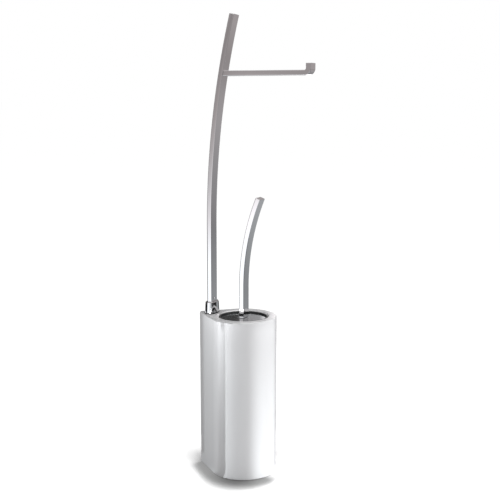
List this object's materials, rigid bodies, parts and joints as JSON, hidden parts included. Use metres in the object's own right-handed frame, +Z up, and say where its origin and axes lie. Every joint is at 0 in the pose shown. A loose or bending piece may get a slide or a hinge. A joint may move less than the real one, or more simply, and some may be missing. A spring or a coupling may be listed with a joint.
{
  "type": "toilet roll and brush stand",
  "caption": "Free-standing toilet roll holder: white container with a lidded toilet brush, and a curved flat-bar column whose arm takes the roll.",
  "frame": {"origin": "on the floor, under the pad, on the axis of the container's round part", "axes": "+Z up; +X from the column towards the free end of the roll arm; +Y across the bars"},
  "size_m": [0.1904, 0.1052, 0.7211],
  "materials": {
    "white_body": "gloss, cast mineral-filled resin",
    "chrome": "polished",
    "zinc_steel": "zinc plated",
    "cast_iron": "painted casting",
    "black_rubber": "matt",
    "black_plastic": "satin",
    "bristle": "nylon"
  },
  "bodies": {
    "stand": {"container_body": "white_body", "ballast_plate": "cast_iron", "ballast_screw_1": "zinc_steel", "ballast_screw_2": "zinc_steel", "ballast_screw_3": "zinc_steel", "base_pad": "black_rubber", "clamp_plate": "zinc_steel", "tie_rod_1": "zinc_steel", "tie_rod_2": "zinc_steel", "tie_nut_1": "zinc_steel", "tie_nut_2": "zinc_steel", "column": "chrome", "column_collar": "chrome", "collar_gasket": "black_rubber", "collar_screw": "zinc_steel", "roll_arm": "chrome", "arm_screw_1": "zinc_steel", "arm_screw_2": "zinc_steel", "liner_cup": "black_plastic"},
    "brush": {"brush_handle": "chrome", "brush_lid": "chrome", "lid_seal": "black_rubber", "handle_stud": "zinc_steel", "lid_washer": "zinc_steel", "lid_nut": "zinc_steel", "brush_stem": "black_plastic", "head_core": "black_plastic", "side_bristles": "bristle", "tip_bristles": "bristle"}
  },
  "joints": [
    {"name": "brush_lift", "type": "slide", "parent": "stand", "child": "brush", "axis": [0, 0, 1], "range_m": [0, 0.18]}
  ]
}
